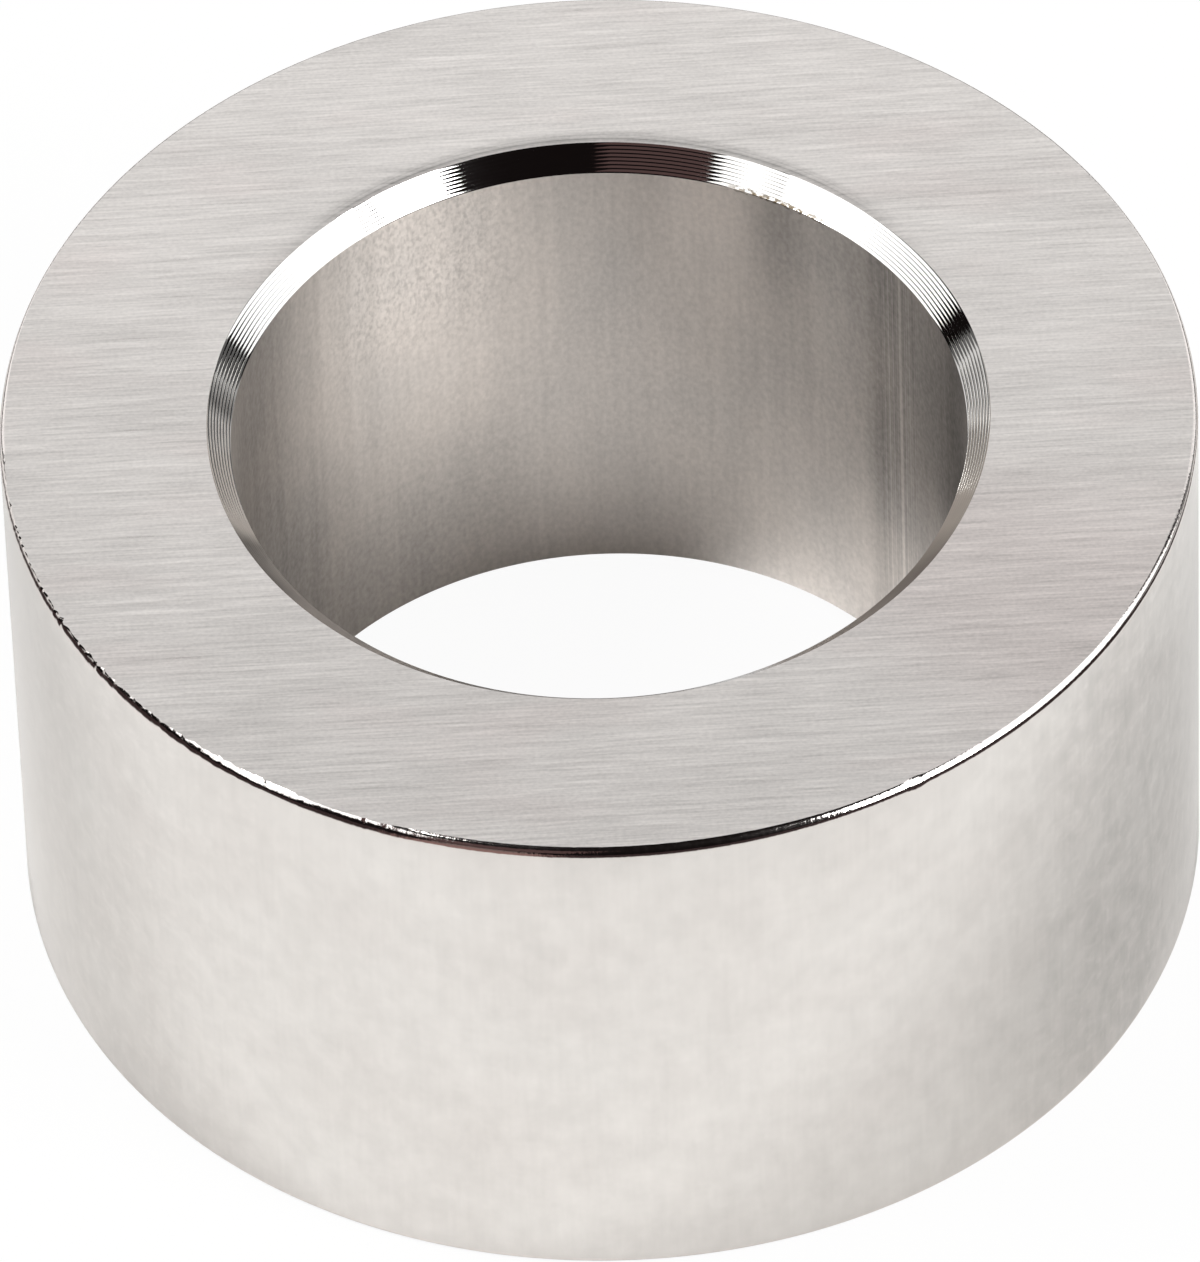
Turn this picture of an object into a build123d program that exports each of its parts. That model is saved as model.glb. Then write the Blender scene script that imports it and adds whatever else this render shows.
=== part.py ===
"""Plain spacer sleeve cut from thick-walled precision tube.

A short ring with a through bore, slipped over a screw or shaft to hold two parts a fixed
distance apart. The two end faces are flat, square to the axis and carry the load. The mouth
of the bore is chamfered at both ends, so that a shaft finds its way in, and the two outside
edges are lightly rounded, as tumbling or a touch of a file leaves them.

It is one piece of metal. The axis is Z, the lower end face lies on Z = 0, and the origin is
the centre of that face. All sizes are in millimetres.
"""

import os

from build123d import *

# Driving dimensions. Each one can be set by itself.
outside_diameter = 26.0
bore_diameter = 16.0
length = 13.0  # the distance that the sleeve keeps, from end face to end face
bore_chamfer = 0.5  # 45 degree chamfer at each mouth of the bore, width and depth alike
edge_radius = 0.15  # rounding of the outside edge at each end

# What follows from them.
outside_radius = outside_diameter / 2
bore_radius = bore_diameter / 2
wall = outside_radius - bore_radius
middle_of_wall = bore_radius + wall / 2

# The sleeve is its half section turned once about the axis: a rectangle as wide as the wall
# and as tall as the sleeve is long, with the corners at the bore chamfered and the corners
# at the outside rounded.
with BuildPart() as spacer_sleeve:
    with BuildSketch(Plane.XZ) as half_section:
        with Locations((middle_of_wall, length / 2)):
            Rectangle(wall, length)
        corners_at_bore = half_section.vertices().group_by(Axis.X)[0]
        chamfer(corners_at_bore, length=bore_chamfer)
        corners_at_outside = half_section.vertices().group_by(Axis.X)[-1]
        fillet(corners_at_outside, radius=edge_radius)
    revolve(axis=Axis.Z)

spacer_sleeve.part.label = "spacer_sleeve"

os.makedirs("parts", exist_ok=True)
export_step(spacer_sleeve.part, "parts/spacer_sleeve.step")
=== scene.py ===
import math

import bpy
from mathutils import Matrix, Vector


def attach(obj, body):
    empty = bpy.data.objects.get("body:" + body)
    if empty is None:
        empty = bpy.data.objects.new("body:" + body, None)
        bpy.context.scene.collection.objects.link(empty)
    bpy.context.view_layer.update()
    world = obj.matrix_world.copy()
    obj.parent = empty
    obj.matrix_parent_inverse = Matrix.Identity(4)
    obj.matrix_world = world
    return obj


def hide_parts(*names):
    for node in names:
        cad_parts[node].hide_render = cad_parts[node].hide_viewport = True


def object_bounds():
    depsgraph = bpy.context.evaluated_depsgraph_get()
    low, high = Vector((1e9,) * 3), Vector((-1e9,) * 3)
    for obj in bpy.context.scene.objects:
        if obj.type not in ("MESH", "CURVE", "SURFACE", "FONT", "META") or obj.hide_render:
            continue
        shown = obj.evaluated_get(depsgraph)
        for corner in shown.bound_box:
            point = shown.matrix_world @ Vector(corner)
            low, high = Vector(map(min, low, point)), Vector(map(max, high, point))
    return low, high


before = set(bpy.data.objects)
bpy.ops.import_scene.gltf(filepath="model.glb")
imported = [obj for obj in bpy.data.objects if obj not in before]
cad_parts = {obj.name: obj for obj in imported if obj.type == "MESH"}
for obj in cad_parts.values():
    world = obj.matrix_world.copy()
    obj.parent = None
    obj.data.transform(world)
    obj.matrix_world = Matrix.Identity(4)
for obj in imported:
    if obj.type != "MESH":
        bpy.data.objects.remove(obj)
cad_low, cad_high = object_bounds()


# ---------------------------------------------------------------------------------------------
# Camera and light. The sleeve stands on a pale table, as a small turned part is shown in a
# catalogue. A tall soft light stands on each side of it and a wall of light behind it, and the
# side where the camera is stays dark, so that bright steel has something dark to reflect.
# ---------------------------------------------------------------------------------------------

MM = 0.001
outside_radius = (cad_high.x - cad_low.x) / 2
length = cad_high.z - cad_low.z
sleeve_centre = (cad_low + cad_high) / 2

camera_elevation = math.radians(45.99)
camera_roll = math.radians(-2.0)
camera_distance = 31.47 * outside_radius
camera_aim = sleeve_centre + Vector((-0.127, 0, -0.21)) * MM

camera_data = bpy.data.cameras.new("camera")
camera_data.lens = 532
camera_data.clip_end = 10
camera = bpy.data.objects.new("camera", camera_data)
bpy.context.scene.collection.objects.link(camera)
bpy.context.scene.camera = camera
towards_camera = Vector((0, -math.cos(camera_elevation), math.sin(camera_elevation)))
camera.location = camera_aim + towards_camera * camera_distance
camera.rotation_mode = "QUATERNION"
camera.rotation_quaternion = (-towards_camera).to_track_quat("-Z", "Y")
camera.rotation_mode = "XYZ"
camera.rotation_euler.rotate_axis("Z", camera_roll)
bpy.context.scene.view_settings.view_transform = "Standard"


class Value:
    """A node socket that can stand in a Python expression. Each operator adds its Math node."""

    def __init__(self, graph, socket):
        self.graph = graph
        self.socket = socket

    def math(self, operation, *others):
        return self.graph.node("ShaderNodeMath", {"operation": operation}, (self, *others))

    def __add__(self, other):
        return self.math("ADD", other)

    __radd__ = __add__

    def __sub__(self, other):
        return self.math("SUBTRACT", other)

    def __rsub__(self, other):
        return self.graph.node("ShaderNodeMath", {"operation": "SUBTRACT"}, (other, self))

    def __mul__(self, other):
        return self.math("MULTIPLY", other)

    __rmul__ = __mul__

    def __truediv__(self, other):
        return self.math("DIVIDE", other)


class Graph:
    """A node tree, and the one way in which nodes are added to it."""

    def __init__(self, tree):
        self.tree = tree

    def node(self, kind, settings=None, sockets=(), output=0):
        """A node of that kind with its settings made, then its input sockets given numbers,
        colours or links. Returns the output that is asked for, as a Value."""
        made = self.tree.nodes.new(kind)
        for name, setting in (settings or {}).items():
            setattr(made, name, setting)
        pairs = sockets.items() if isinstance(sockets, dict) else enumerate(sockets)
        for name, given in pairs:
            if isinstance(given, Value):
                self.tree.links.new(given.socket, made.inputs[name])
            else:
                made.inputs[name].default_value = given
        return Value(self, made.outputs[output]) if made.outputs else made

    def within(self, value, low, high):
        """0 where value is below low, 1 above high, and a smooth step between the two."""
        settings = {"interpolation_type": "SMOOTHSTEP"}
        return self.node("ShaderNodeMapRange", settings, {"Value": value, 1: low, 2: high})

    def blend(self, amount, first, second):
        """The first colour where amount is 0, and the second where it is 1."""
        sockets = {0: amount, 6: first, 7: second}
        return self.node("ShaderNodeMix", {"data_type": "RGBA"}, sockets, 2)


def new_material(name):
    """A material with an empty node tree, and the graph to fill it."""
    material = bpy.data.materials.new(name)
    material.use_nodes = True
    material.node_tree.nodes.clear()
    return material, Graph(material.node_tree)


room = bpy.data.worlds.new("room")
room.use_nodes = True
room.node_tree.nodes.clear()
graph = Graph(room.node_tree)
seen = graph.node("ShaderNodeLightPath")
dark_room = (0.007, 0.005, 0.005, 1)
walls = graph.blend(seen, dark_room, (1, 1, 1, 1))
background = graph.node("ShaderNodeBackground", {}, {"Color": walls})
graph.node("ShaderNodeOutputWorld", {}, {"Surface": background})
bpy.context.scene.world = room


def soft_light(name, centre, facing, width, height, radiance, colour=(1, 1, 1)):
    """An upright rectangle of light. Its radiance is the brightness that a mirror shows of it."""
    data = bpy.data.lights.new(name, "AREA")
    data.shape = "RECTANGLE"
    data.size = width
    data.size_y = height
    data.energy = radiance * math.pi * width * height
    data.color = colour
    light = bpy.data.objects.new(name, data)
    light.location = centre
    light.rotation_mode = "QUATERNION"
    light.rotation_quaternion = Vector(facing).to_track_quat("-Z", "Y")
    bpy.context.scene.collection.objects.link(light)


side_distance = 0.24
on_the_right, on_the_left = 1, -1


def side_light(name, side, front, back, foot, top, radiance):
    """A tall light beside the sleeve. Its ends are given as shares of the side distance."""
    centre = Vector((side, (front + back) / 2, (foot + top) / 2)) * side_distance
    width, height = (back - front) * side_distance, (top - foot) * side_distance
    soft_light(name, centre, (-side, 0, 0), width, height, radiance)


right_middle, right_top = -0.36, 1.7
left_middle, left_radiance = 0.70, 1.8
side_back = 0.45
side_light("right front light", on_the_right, front=-1.18, back=right_middle,
           foot=0.28, top=right_top, radiance=9.4)
side_light("right back light", on_the_right, front=right_middle, back=side_back,
           foot=0.18, top=right_top, radiance=1.7)
side_light("upper left light", on_the_left, front=-1.31, back=side_back,
           foot=left_middle, top=1.8, radiance=left_radiance)
side_light("lower left light", on_the_left, front=-0.70, back=side_back,
           foot=0.36, top=left_middle, radiance=left_radiance)
high_place = Vector((-0.46, 0.03, 0.88)) * 0.30
soft_light("high left light", high_place, -high_place, width=0.13, height=0.13, radiance=9)

back_distance = 0.12
back_width = 3 * back_distance
back_foot, back_middle, back_top = 0.045, 0.136, 0.265


def back_light(name, foot, top, radiance):
    """One of the two panels behind the sleeve, which the ground face mirrors."""
    centre = Vector((0, back_distance, (foot + top) / 2))
    soft_light(name, centre, (0, -1, 0), back_width, top - foot, radiance)


back_light("lower back light", back_foot, back_middle, radiance=1.03)
back_light("upper back light", back_middle, back_top, radiance=0.63)
wall_place = Vector((0.095, 0.22, 0.080))
soft_light("grey wall", wall_place, (0, -1, 0), width=1.01, height=0.14, radiance=0.20)

# On the dark side two dim brown lights stand for a card and a cloth, which the steel mirrors.
card_place, card_colour = Vector((-0.11, -0.28, 0.035)), (1, 0.72, 0.68)
soft_light("brown card", card_place, -card_place, width=0.08, height=0.10,
           radiance=0.22, colour=card_colour)
cloth_place, cloth_colour = Vector((-0.09, -0.25, 0.19)), (1, 0.60, 0.58)
soft_light("brown cloth", cloth_place, -cloth_place, width=0.14, height=0.18,
           radiance=0.095, colour=cloth_colour)

table_size = 1.2
table_gap = 0.02 * MM
table_corners = [(-1, -1), (1, -1), (1, 1), (-1, 1)]
table_places = [(x * table_size, y * table_size, 0) for x, y in table_corners]
table_mesh = bpy.data.meshes.new("table")
table_mesh.from_pydata(table_places, [], [(0, 1, 2, 3)])
table = bpy.data.objects.new("table", table_mesh)
bpy.context.scene.collection.objects.link(table)
table.location.z = cad_low.z - table_gap


def axis_of(graph, place, name):
    """The place's X, Y or Z."""
    return graph.node("ShaderNodeSeparateXYZ", {}, (place,), name)


def azimuth(graph, place):
    """The angle about the axis in degrees: 0 at +X, 90 at the back, -90 at the front."""
    x, y = axis_of(graph, place, "X"), axis_of(graph, place, "Y")
    return y.math("ARCTAN2", x) * math.degrees(1)


def from_axis_to(graph, place):
    """The distance from the sleeve's axis."""
    x, y = axis_of(graph, place, "X"), axis_of(graph, place, "Y")
    return (x * x + y * y).math("SQRT")


def stripe(graph, angle, middle, full, none):
    """1 within so many degrees of the middle angle, and 0 beyond so many."""
    return 1 - graph.within((angle - middle).math("PINGPONG", 180), full, none)


# The table is pale paper, white to the camera. Steel mirrors something else, set for the main
# view: plain paper near by, darkness and a strip of brown cloth in front, and three painted pools
# of light under the bore, which glow brighter than white to the steel though no lamp casts them.
pale_paper = (0.72, 0.712, 0.70, 1)
dark_front = (0.03, 0.02, 0.02, 1)
cloth_strip = (0.20, 0.125, 0.115, 1)
front_starts, front_ends = 12 * MM, 36 * MM
far_starts, far_ends = 26 * MM, 36 * MM
seen_whiteness = 0.95
table_material, graph = new_material("pale table")
paper = graph.node("ShaderNodeBsdfDiffuse", {}, {"Color": pale_paper})
seen = graph.node("ShaderNodeLightPath")
in_metal = graph.node("ShaderNodeLightPath", output="Is Glossy Ray")
in_glass = graph.node("ShaderNodeLightPath", output="Is Transmission Ray")
place = graph.node("ShaderNodeTexCoord", output="Object")
from_axis = from_axis_to(graph, place)
on_cloth = stripe(graph, azimuth(graph, place), -111, 8, 14)
cloth = graph.blend(on_cloth, dark_front, cloth_strip)
dark = graph.node("ShaderNodeBsdfDiffuse", {}, {"Color": cloth})
in_front = 1 - graph.within(axis_of(graph, place, "Y"), front_starts, front_ends)
far = graph.within(from_axis, far_starts, far_ends) * in_front


def painted_light_spot(x, y, full, none):
    """A painted pool of light on the table, full to one radius and gone at the other, in mm."""
    centre = Vector((x, y, 0)) * MM
    away = graph.node("ShaderNodeVectorMath", {"operation": "DISTANCE"}, (place, centre), "Value")
    return 1 - graph.within(away, full * MM, none * MM)


# Three painted pools of light under the bore, which only the steel sees.
middle_spot = painted_light_spot(0.8, -0.4, 1.5, 5.0) * 3.0
back_spot = painted_light_spot(4.0, 6.2, 0.6, 2.8) * 1.7
right_spot = painted_light_spot(5.8, 1.2, 0.8, 2.8) * 2.0
under_bore = middle_spot + back_spot + right_spot
brightness = seen + (1 - seen) * under_bore.math("MAXIMUM", 1)
scaled = {0: (1, 1, 1), "Scale": brightness}
white = graph.node("ShaderNodeVectorMath", {"operation": "SCALE"}, scaled)
glow = graph.node("ShaderNodeEmission", {}, {"Color": white, "Strength": 1})
whiteness = seen * seen_whiteness + (in_metal + in_glass) * under_bore.math("MINIMUM", 1)
lit = graph.node("ShaderNodeMixShader", {}, (whiteness, paper, glow))
shown = graph.node("ShaderNodeMixShader", {}, (in_metal * far, lit, dark))
graph.node("ShaderNodeOutputMaterial", {}, {"Surface": shown})
table_mesh.materials.append(table_material)


# ---------------------------------------------------------------------------------------------
# Sleeve. One ring of bright steel, parted off thick-walled tube: the bore keeps the dull drawn
# skin, its mouths are chamfered on the lathe, the outside is polished bright and its edges are
# broken by hand. The end faces are ground straight across last, which cuts into those edges.
# ---------------------------------------------------------------------------------------------

bore_share = 16 / 26
bore_radius = outside_radius * bore_share
chamfer_width = 0.5 * MM
edge_radius = 0.15 * MM
bright_steel = (0.80, 0.767, 0.740, 1)
warm_steel = (0.80, 0.740, 0.714, 1)
drawn_steel = (0.80, 0.757, 0.718, 1)
stained_steel = (0.79, 0.722, 0.665, 1)
cool_steel = (0.79, 0.775, 0.752, 1)
oily_dirt = (0.19, 0.15, 0.10, 1)


def steel(name, pattern, lay=0.0):
    """A bare steel finish. pattern(graph, place) gives its colour, how bright that is, its
    roughness, and the height and depth of its bump. lay is how much more it scatters one way."""
    material, graph = new_material(name)
    place = graph.node("ShaderNodeTexCoord", output="Object")
    colour, shade, roughness, height, depth = pattern(graph, place)
    shaded = graph.node("ShaderNodeVectorMath", {"operation": "SCALE"}, {0: colour, "Scale": shade})
    bump = graph.node("ShaderNodeBump", {}, {"Height": height, "Distance": depth, "Strength": 1})
    surface = graph.node("ShaderNodeBsdfPrincipled", {}, {
        "Base Color": shaded,
        "Metallic": 1,
        "Roughness": roughness,
        "Normal": bump,
        "Anisotropic": lay,
        "Anisotropic Rotation": 0.25,
    })
    graph.node("ShaderNodeOutputMaterial", {}, {"Surface": surface})
    return material


def noise(graph, place, x, y, z, detail=2, seed=0, turn=0.0):
    """Noise whose features are x, y and z millimetres long, turned about Z by turn."""
    settings = {"vector_type": "TEXTURE"}
    moved = graph.node("ShaderNodeMapping", settings, {
        "Vector": place,
        "Location": (seed * 0.31, seed * 0.17, seed * 0.23),
        "Rotation": (0, 0, turn),
        "Scale": (x * MM, y * MM, z * MM),
    })
    return graph.node("ShaderNodeTexNoise", {}, {"Vector": moved, "Scale": 1, "Detail": detail})


def residue(graph, place):
    """Where a little oily dirt was left at the foot of the upper chamfer, at the back right."""
    reach = 0.13 * MM
    crumbs = noise(graph, place, 0.14, 0.14, 0.07, detail=3, seed=8)
    foot = length - chamfer_width
    at_foot = 1 - graph.within((axis_of(graph, place, "Z") - foot).math("ABSOLUTE"), 0, reach)
    back_right = stripe(graph, azimuth(graph, place), 59, 4, 12)
    return graph.within(crumbs + at_foot * 0.16, 0.58, 0.72) * back_right * at_foot


def ground_across(graph, place):
    """Straight lines of the belt, nearly along X: many short fine ones, some longer and deeper,
    and a grain of specks. Round the back of the mouth, faint rings are painted as darker arcs, the
    painted shade of the face rolling over there. At the front right the face is warmer, and painted
    shade makes it a little darker."""
    turn = math.radians(1.5)
    line_depth = 0.002 * MM
    ring_spacing = 0.07 * MM
    rings_from, rings_to = 0.16 * MM, 0.36 * MM
    fine = noise(graph, place, 1.2, 0.055, 1, seed=1, turn=turn)
    middle = noise(graph, place, 3.5, 0.13, 1, seed=2, turn=turn)
    coarse = noise(graph, place, 8, 0.5, 1, seed=3, turn=turn)
    grain = noise(graph, place, 0.10, 0.07, 1, detail=1, seed=4)
    deep = graph.within(noise(graph, place, 3, 0.12, 1, detail=1, seed=5, turn=turn), 0.66, 0.74)
    patches = noise(graph, place, 6, 2, 1, seed=18, turn=turn)
    lines = fine * 0.45 + middle * 0.40 + coarse * 0.15
    radius = from_axis_to(graph, place)
    one_way = {"noise_dimensions": "1D"}
    rings = graph.node("ShaderNodeTexNoise", one_way, {"W": radius / ring_spacing, "Scale": 1})
    mouth = bore_radius + chamfer_width
    near_mouth = 1 - graph.within(radius, mouth + rings_from, mouth + rings_to)
    # Painted shade: rings near the mouth, mostly darker, only round the back.
    at_mouth = near_mouth * stripe(graph, azimuth(graph, place), 90, 30, 52)
    # Painted shade at the front right, over a warmer tint of the steel.
    warm_patch_and_shade = stripe(graph, azimuth(graph, place), -32, 6, 28)
    brushed = lines * 0.92 + grain * 0.24 + patches * 0.20 + 0.23
    shade = brushed - deep * 0.07 - warm_patch_and_shade * 0.07 - at_mouth * (rings * 0.8 - 0.22)
    blush = graph.within(noise(graph, place, 5, 2, 1, seed=6), 0.50, 0.75) * 0.6
    colour = graph.blend(blush.math("MAXIMUM", warm_patch_and_shade), bright_steel, warm_steel)
    roughness = lines * 0.10 + 0.24
    return colour, shade, roughness, lines, line_depth


def turned(graph, place):
    """Bright from the tool, with a little oily dirt left at the foot of the upper chamfer. Painted
    shade darkens it at the front, at the left and in three short places, and a painted highlight
    brightens one place at the right: painted reflections, set for the main view. The front is
    also painted warmer, a painted reflection of brown."""
    smear = noise(graph, place, 0.4, 0.4, 0.06, seed=7)
    dirt = residue(graph, place)
    x, y = axis_of(graph, place, "X"), axis_of(graph, place, "Y")
    # Painted shade: the front and the left are darkened, and the front is painted warm as a painted
    # brown reflection.
    front = 1 - graph.within(y, -5.0 * MM, -3.8 * MM)
    leftmost = 1 - graph.within(x, -7.7 * MM, -6.2 * MM)
    left = leftmost * (1 - graph.within(y, 0.8 * MM, 2.6 * MM))
    angle = azimuth(graph, place)
    # Painted shade in three short places, and a painted highlight in one at the right.
    front_left_shade = stripe(graph, angle, -143, 13, 18) * 0.40
    back_left_shade = stripe(graph, angle, 168, 5, 9) * 0.32
    right_shade = stripe(graph, angle, 12, 4, 10) * 0.26
    # dull adds up all the painted shade of the chamfer.
    dull = front_left_shade + back_left_shade + right_shade + front * 0.30 + left * 0.40
    right_highlight = stripe(graph, angle, -13, 10, 16) * 0.24
    shade = smear * 0.10 + 0.87 + right_highlight - dull
    colour = graph.blend(dirt, graph.blend(front, cool_steel, warm_steel), oily_dirt)
    roughness = smear * 0.02 + 0.045 + dirt * 0.4
    smear_depth = 0.0001 * MM
    return colour, shade, roughness, smear, smear_depth


def broken(graph, place):
    """The outside edge, taken off by hand with a fine stone, which left short nicks in it."""
    nicks = noise(graph, place, 0.09, 0.09, 0.12, seed=16)
    colour = graph.blend(nicks, bright_steel, warm_steel)
    shade, roughness = nicks * 0.3 + 0.80, nicks * 0.10 + 0.06
    nick_depth = 0.004 * MM
    return colour, shade, roughness, nicks, nick_depth


def drawn(graph, place):
    """The dull skin that the drawing left: streaks along the bore, a fine grain, cloudy stains,
    and one pair of marks from the die, a dark band with a bright scratch beside it. It is pitted
    near the top at the back left, and smudged near the top at the back right. Painted shade makes
    it darker at the left, low at the back left and high at the front and right, for the main view."""
    streaks = noise(graph, place, 0.22, 0.22, 8, detail=3, seed=9)
    grain = noise(graph, place, 0.11, 0.11, 0.16, seed=10)
    clouds = noise(graph, place, 2.2, 2.2, 3.5, seed=11)
    angle = azimuth(graph, place)
    up = axis_of(graph, place, "Z")
    die_lines = noise(graph, place, 0.06, 0.06, 40, detail=1, seed=15)
    scored = stripe(graph, angle, 34, 2.5, 7)
    band = stripe(graph, angle, 38.5, 0.5, 4.5) * 0.10
    scratch = stripe(graph, angle, 33.5, 0.15, 0.6) * 0.16
    # Painted shade: darker towards the top at the front and right.
    high_front_right_shade = stripe(graph, angle, -40, 62, 112) * graph.within(up, 2 * MM, 8 * MM)
    near_top = graph.within(up, 7.5 * MM, 12 * MM)
    dark_side, bright_side = stripe(graph, angle, 59, 1, 6), stripe(graph, angle, 72, 3, 9)
    smudge = (dark_side * 0.16 - bright_side * 0.16) * near_top
    # Painted shade: darker at the left, low at the back left, and high at the right.
    left = stripe(graph, angle, 180, 15, 52) * 0.32
    low = 1 - graph.within(up, 1.5 * MM, 8 * MM)
    low_left = stripe(graph, angle, 128, 12, 34) * low * 0.22
    far_right = stripe(graph, angle, -60, 70, 88) * graph.within(up, 5 * MM, 9 * MM) * 0.18
    pitted = stripe(graph, angle, 120, 8, 24) * graph.within(up, 7 * MM, 10 * MM)
    pit_noise = noise(graph, place, 0.085, 0.085, 0.15, detail=3, seed=17)
    pits = graph.within(pit_noise, 0.40, 0.70) * pitted
    skin = streaks * 0.16 + grain * 0.28 + clouds * 0.22 + 0.43
    # marks holds the die band, the smudge and the pits, and also the painted shade above.
    marks = high_front_right_shade * 0.34 + smudge + band + pits * 0.15 + left + low_left + far_right
    shade = skin - marks + scratch + scored * (die_lines - 0.5) * 0.5
    bare = graph.blend(clouds, drawn_steel, stained_steel)
    colour = graph.blend(residue(graph, place), bare, oily_dirt)
    roughness = streaks * 0.06 + 0.50
    height = grain * 0.7 + streaks * 0.3
    skin_depth = 0.004 * MM
    return colour, shade, roughness, height, skin_depth


def polished(graph, place):
    """Bright and slightly cloudy, with faint traces along the axis and small specks. It is hazier
    at the front right, where painted shade also darkens it, most low down, and a painted highlight
    lightens the far left; both are set for the main view."""
    cloud = noise(graph, place, 0.55, 0.55, 0.65, detail=4, seed=12)
    haze = noise(graph, place, 3.5, 3.5, 3, seed=13)
    trace = noise(graph, place, 0.12, 0.12, 1.6, seed=14)
    angle = azimuth(graph, place)
    # A hazier finish at the front right, with painted shade there that deepens low down.
    haze_and_shade = stripe(graph, angle, -20, 6, 38)
    # Painted highlight: the far left is lighter.
    left_end_highlight = stripe(graph, angle, -174, 16, 36) * 0.06
    low = 1 - graph.within(axis_of(graph, place, "Z"), 1 * MM, 12 * MM)
    specks = graph.within(noise(graph, place, 0.28, 0.28, 0.20, detail=3, seed=19), 0.50, 0.66)
    worn_left = stripe(graph, angle, -160, 10, 40)
    worn = specks * (haze_and_shade * 0.05 + worn_left * 0.03 + 0.012)
    mottle = cloud * 0.22 + haze * 0.12 + trace * 0.07
    shade = mottle * (haze_and_shade * 0.8 + 1) + worn + 0.69 + left_end_highlight - haze_and_shade * (low * 0.11 + 0.27)
    colour = graph.blend(haze, bright_steel, cool_steel)
    roughness = cloud * 0.08 + 0.12
    height = cloud * 0.8 + trace * 0.2
    cloud_depth = 0.0015 * MM
    return colour, shade, roughness, height, cloud_depth


finishes = {
    "ground face": steel("ground steel face", ground_across),
    "turned chamfer": steel("turned steel chamfer", turned),
    "broken edge": steel("broken steel edge", broken),
    "drawn bore": steel("drawn steel bore", drawn, lay=0.70),
    "polished outside": steel("polished steel outside", polished),
}

tree = bpy.data.node_groups.new("turned sleeve", "GeometryNodeTree")
tree.interface.new_socket("Sleeve", in_out="OUTPUT", socket_type="NodeSocketGeometry")
sleeve_sizes = {
    "Outside Radius": outside_radius,
    "Bore Radius": bore_radius,
    "Half Length": length / 2,
    "Chamfer Width": chamfer_width,
    "Edge Radius": edge_radius,
    "Least Edge Angle": math.radians(14),
    "Most Edge Angle": math.radians(50),
    "Edge Raggedness": math.radians(60),
    "Right Front Turn": math.radians(8),
    "Edge Growth": 1.0,
    "Front Growth": 0.35,
    "Knock Growth": 0.4,
    "Back Shrinkage": 0.5,
    "Feed Lines": 8.0,
    "Feed Line Depth": 0.0030 * MM,
    "Mouth Roll Width": 0.30 * MM,
    "Mouth Roll Drop": 0.020 * MM,
    "Seed": 3.0,
}
identifiers = {}
for name in sleeve_sizes:
    socket = tree.interface.new_socket(name, in_out="INPUT", socket_type="NodeSocketFloat")
    identifiers[name] = socket.identifier
graph = Graph(tree)
inputs = tree.nodes.new("NodeGroupInput")
size = {name: Value(graph, inputs.outputs[name]) for name in sleeve_sizes}
steps_round = 960
wall_radius, mouth_radius = size["Outside Radius"], size["Bore Radius"]
chamfer, edge, half_length = size["Chamfer Width"], size["Edge Radius"], size["Half Length"]


def eased(share):
    """Steps along a long straight stretch that come closer together at both of its ends."""
    return 0.5 - (share * math.pi).math("COSINE") * 0.5


def uneven(x, y, scale, detail):
    """Noise round the axis, about 0, whose features are 1/scale of the radius long."""
    place = graph.node("ShaderNodeCombineXYZ", {}, (x, y, size["Seed"]))
    sockets = {"Vector": place, "Scale": scale, "Detail": detail}
    return graph.node("ShaderNodeTexNoise", {}, sockets) - 0.5


def mouth_drop(y):
    """How far the face has rolled down where it meets the chamfer. It does so only at the back."""
    return graph.within(y, 0.3, 0.7) * size["Mouth Roll Drop"]


def chamfer_section(share, x, y, lower):
    """The mouth's chamfer from the bore to the face, with a shallow round trough for each turn.
    The troughs are deeper from the sides round to the back, and deepest at the back left."""
    across = (share * size["Feed Lines"]).math("FRACT") - 0.5
    pressed = graph.within(y, -0.55, -0.2) * 0.75 + 0.25
    pressed = pressed + graph.within(-1 * x, 0.1, 0.6) * graph.within(y, 0.3, 0.5) * 0.6
    depth = size["Feed Line Depth"] * (uneven(x, y, scale=1.2, detail=1) * 0.8 + pressed)
    flank = across * across * 4
    square_to_chamfer = math.sqrt(0.5)
    trough = (1 - flank * flank) * depth * square_to_chamfer
    rise = (chamfer - mouth_drop(y)) * share
    return mouth_radius + rise + trough, half_length - chamfer + rise - trough


def edge_shape(x, y, lower):
    """The edge's radius, and the angle at which its rounding leaves the face. The lower edge is
    even all round. The upper one was broken wider at the front than at the back. Grinding cut it
    away at the left front, frayed it there and nicked it beside that stretch, and a knock marks
    it at the right front."""
    most, least = size["Most Edge Angle"], size["Least Edge Angle"]
    if lower:
        return edge, least
    left, forward = -1 * x, -1 * y
    ground_off = graph.within(left, 0.50, 0.76) * graph.within(forward, -0.02, 0.12)
    beside = graph.within(left, 0.30, 0.40) * (1 - graph.within(left, 0.48, 0.56))
    nicked = beside * (1 - graph.within(y, -0.5, 0))
    ground_off = ground_off + nicked * 0.8
    frayed = graph.within(left, 0.45, 0.6) * graph.within(forward, 0.3, 0.5)
    raggedness = size["Edge Raggedness"] * (ground_off * 0.35 + frayed * 0.6 + 0.2)
    ragged = uneven(x, y, scale=90, detail=2) * raggedness
    front, back = graph.within(forward, 0, 0.4), graph.within(y, 0.05, 0.35)
    start = (least + (most - least) * ground_off + ragged).math("MAXIMUM", least)
    start = start + graph.within(x, 0.1, 0.4) * front * size["Right Front Turn"]
    knocked = (1 - graph.within((x - 0.50).math("ABSOLUTE"), 0.006, 0.020)) * front
    growth = ground_off * size["Edge Growth"] + front * size["Front Growth"]
    growth = growth + knocked * size["Knock Growth"] - back * size["Back Shrinkage"]
    return edge * (1 + growth), start


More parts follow.
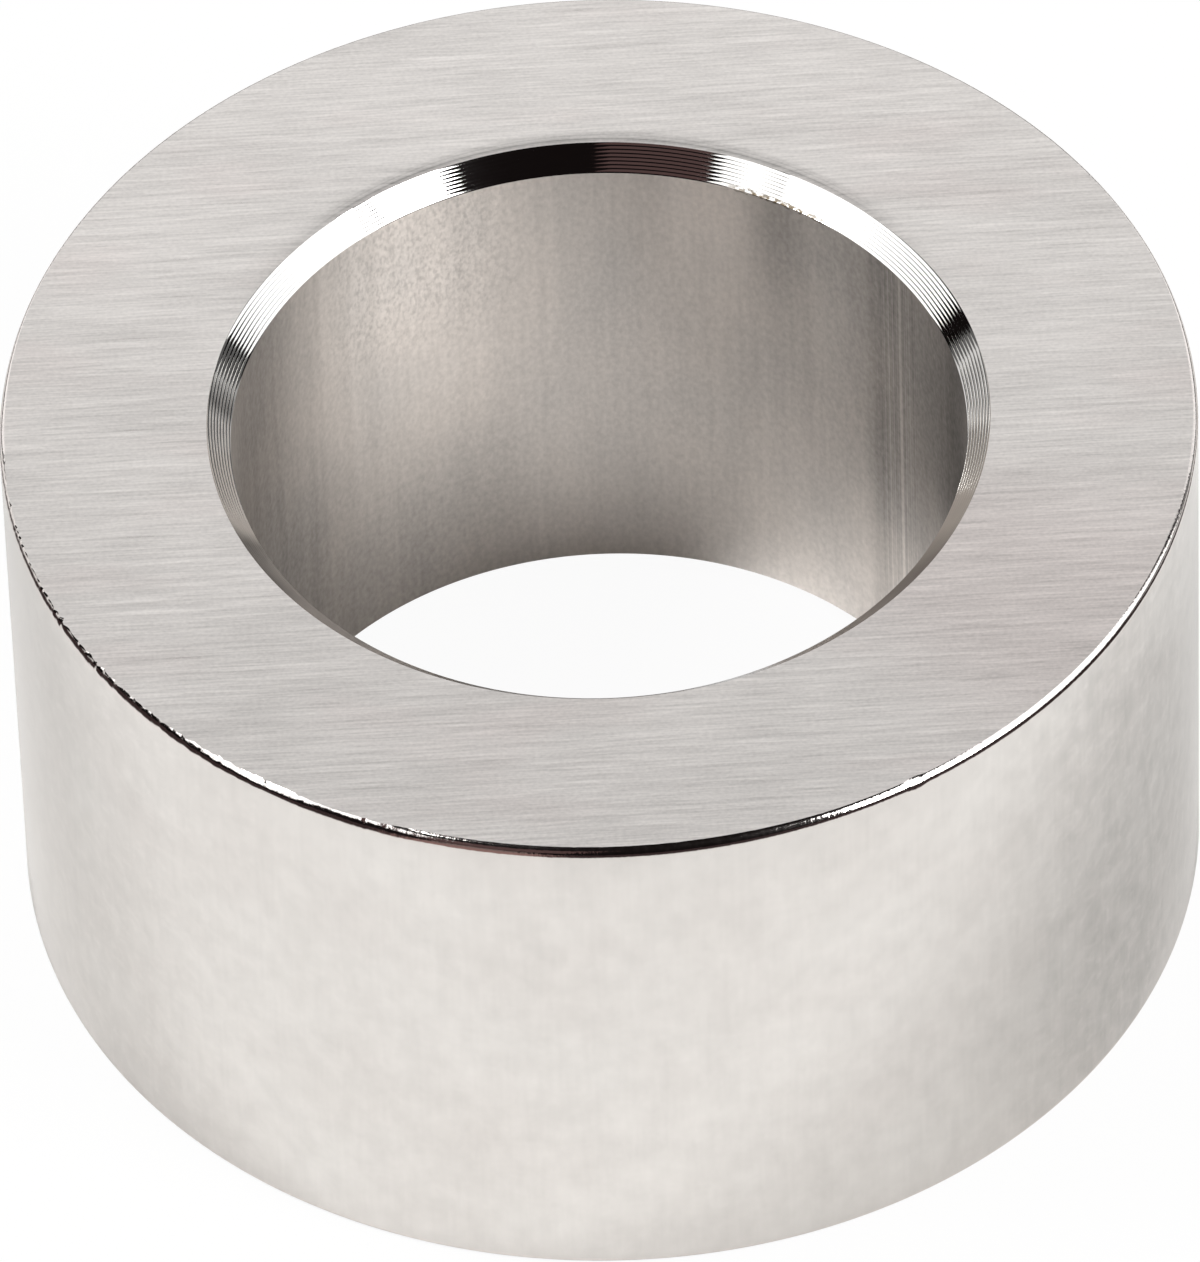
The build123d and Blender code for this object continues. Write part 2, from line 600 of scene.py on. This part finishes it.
def edge_section(share, x, y, lower):
    """What grinding left of the rounded edge, from the face to the wall."""
    rounding, start = edge_shape(x, y, lower)
    turn = start + (math.pi / 2 - start) * share
    radius = wall_radius - rounding + rounding * turn.math("SINE")
    return radius, half_length + rounding * (turn.math("COSINE") - start.math("COSINE"))


def face_section(share, x, y, lower):
    """The end face from the chamfer to the edge, rolled over a little at the back of the mouth."""
    rounding, start = edge_shape(x, y, lower)
    drop = mouth_drop(y)
    inner = mouth_radius + chamfer - drop
    outer = wall_radius - rounding + rounding * start.math("SINE")
    radius = inner + (outer - inner) * eased(share)
    to_mouth = (1 - (radius - inner) / size["Mouth Roll Width"]).math("MAXIMUM", 0)
    return radius, half_length - to_mouth * to_mouth * drop


def wall_section(share, x, y, lower):
    """The outside, from the foot of the upper edge down to the lower one."""
    rounding, start = edge_shape(x, y, lower)
    top = half_length - rounding * start.math("COSINE")
    rounding, start = edge_shape(x, y, lower=True)
    foot = rounding * start.math("COSINE") - half_length
    return wall_radius + 0 * share, top + (foot - top) * eased(share)


def bore_section(share, x, y, lower):
    """The bore, from the lower chamfer up to the upper one."""
    return mouth_radius + 0 * share, (half_length - chamfer) * (eased(share) * 2 - 1)


def turned_band(section, finish, steps, upside_down=False):
    """A stretch of the section turned about the axis: a grid whose X is the way along the
    stretch and whose Y is the way round. The lower end is the upper one turned over."""
    grid = graph.node("GeometryNodeMeshGrid", {}, (1, 1, steps + 1, steps_round + 1))
    place = graph.node("GeometryNodeInputPosition")
    along = graph.node("ShaderNodeSeparateXYZ", {}, (place,), "X") + 0.5
    share = 1 - along if upside_down else along
    turn = graph.node("ShaderNodeSeparateXYZ", {}, (place,), "Y") * (2 * math.pi)
    x, y = turn.math("COSINE"), turn.math("SINE")
    radius, height = section(share, x, y, upside_down)
    z = half_length - height if upside_down else half_length + height
    moved = graph.node("ShaderNodeCombineXYZ", {}, (radius * x, radius * y, z))
    band = graph.node("GeometryNodeSetPosition", {}, {"Geometry": grid, "Position": moved})
    material = {"Geometry": band, "Material": finishes[finish]}
    return graph.node("GeometryNodeSetMaterial", {}, material)


bands = [
    turned_band(bore_section, "drawn bore", steps=4),
    turned_band(chamfer_section, "turned chamfer", steps=40),
    turned_band(face_section, "ground face", steps=16),
    turned_band(edge_section, "broken edge", steps=8),
    turned_band(wall_section, "polished outside", steps=4),
    turned_band(edge_section, "broken edge", steps=6, upside_down=True),
    turned_band(face_section, "ground face", steps=6, upside_down=True),
    turned_band(chamfer_section, "turned chamfer", steps=16, upside_down=True),
]
merge_distance = 0.0002 * MM
sharp_from = math.radians(12)
joined = graph.node("GeometryNodeJoinGeometry")
for band in reversed(bands):
    tree.links.new(band.socket, joined.socket.node.inputs["Geometry"])
merged = {"Geometry": joined, "Distance": merge_distance}
closed = graph.node("GeometryNodeMergeByDistance", {}, merged)
smooth = graph.node("GeometryNodeSetShadeSmooth", {}, {"Geometry": closed, "Shade Smooth": True})
corner_angle = graph.node("GeometryNodeInputMeshEdgeAngle")
is_corner = corner_angle.math("GREATER_THAN", sharp_from)
crisp = graph.node("GeometryNodeSetShadeSmooth", {"domain": "EDGE"}, {
    "Geometry": smooth, "Selection": is_corner, "Shade Smooth": False,
})
whole = graph.node("GeometryNodeRealizeInstances", {}, (crisp,))
output = tree.nodes.new("NodeGroupOutput")
tree.links.new(whole.socket, output.inputs[0])

blank = bpy.data.objects.new("blank", bpy.data.meshes.new("blank"))
bpy.context.scene.collection.objects.link(blank)
turning = blank.modifiers.new("turned sleeve", "NODES")
turning.node_group = tree
for name, value in sleeve_sizes.items():
    turning[identifiers[name]] = value
depsgraph = bpy.context.evaluated_depsgraph_get()
mesh = bpy.data.meshes.new_from_object(blank.evaluated_get(depsgraph), depsgraph=depsgraph)
bpy.data.objects.remove(blank)
mesh.name = "sleeve_body"
sleeve = bpy.data.objects.new("sleeve_body", mesh)
bpy.context.scene.collection.objects.link(sleeve)

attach(sleeve, "root")
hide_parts("spacer_sleeve")
